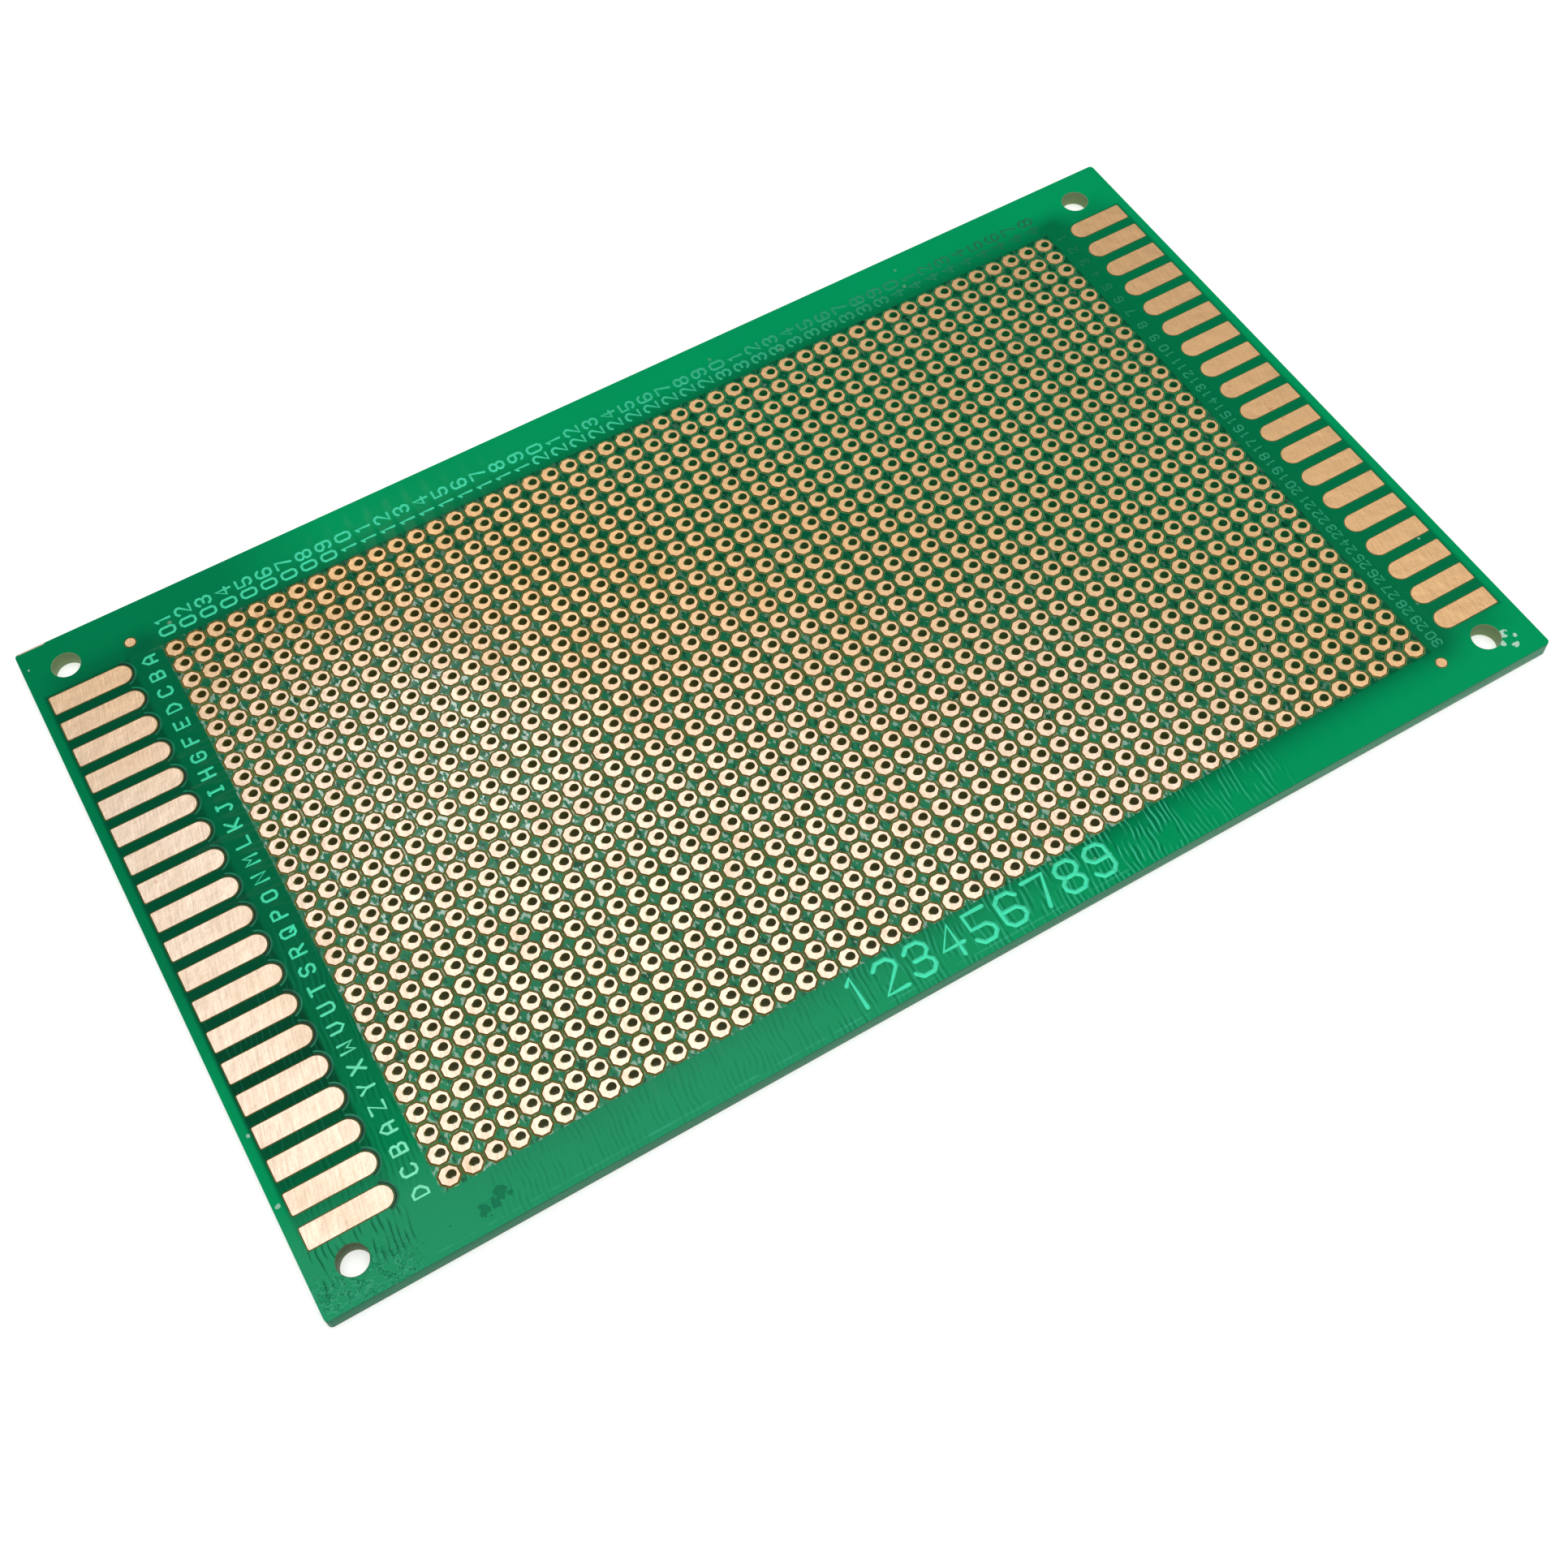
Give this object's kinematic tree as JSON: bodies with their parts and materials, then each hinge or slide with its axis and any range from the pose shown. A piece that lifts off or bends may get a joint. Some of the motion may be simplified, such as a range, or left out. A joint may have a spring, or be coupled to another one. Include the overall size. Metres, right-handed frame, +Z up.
{
  "type": "prototype circuit board",
  "caption": "Single-sided prototype circuit board with a drilled grid of octagonal copper pads, edge fingers at both ends and corner mounting holes.",
  "frame": {"origin": "centre of the bare underside, midway along the length and the width", "axes": "+X along the long side from the longer fingers to the shorter ones, +Y along the short side towards the column numbers, +Z up out of the copper side"},
  "size_m": [0.1492, 0.0896, 0.002],
  "materials": {
    "laminate": "sheared glass-epoxy laminate, pale green-olive, bare hole walls",
    "solder_mask": "glossy green solder mask film",
    "copper": "bare brushed copper, lightly tarnished"
  },
  "bodies": {
    "root": {"laminate": "laminate", "left_finger_01": "copper", "left_finger_02": "copper", "left_finger_03": "copper", "left_finger_04": "copper", "left_finger_05": "copper", "left_finger_06": "copper", "left_finger_07": "copper", "left_finger_08": "copper", "left_finger_09": "copper", "left_finger_10": "copper", "left_finger_11": "copper", "left_finger_12": "copper", "left_finger_13": "copper", "left_finger_14": "copper", "left_finger_15": "copper", "left_finger_16": "copper", "left_finger_17": "copper", "left_finger_18": "copper", "left_finger_19": "copper", "lower_dot": "copper", "pad_row_01": "copper", "pad_row_15": "copper", "pad_row_30": "copper", "right_finger_01": "copper", "right_finger_02": "copper", "right_finger_03": "copper", "right_finger_04": "copper", "right_finger_05": "copper", "right_finger_06": "copper", "right_finger_07": "copper", "right_finger_08": "copper", "right_finger_09": "copper", "right_finger_10": "copper", "right_finger_11": "copper", "right_finger_12": "copper", "right_finger_13": "copper", "right_finger_14": "copper", "right_finger_15": "copper", "right_finger_16": "copper", "right_finger_17": "copper", "right_finger_18": "copper", "right_finger_19": "copper", "solder_mask": "solder_mask", "upper_dot": "copper"}
  },
  "joints": []
}
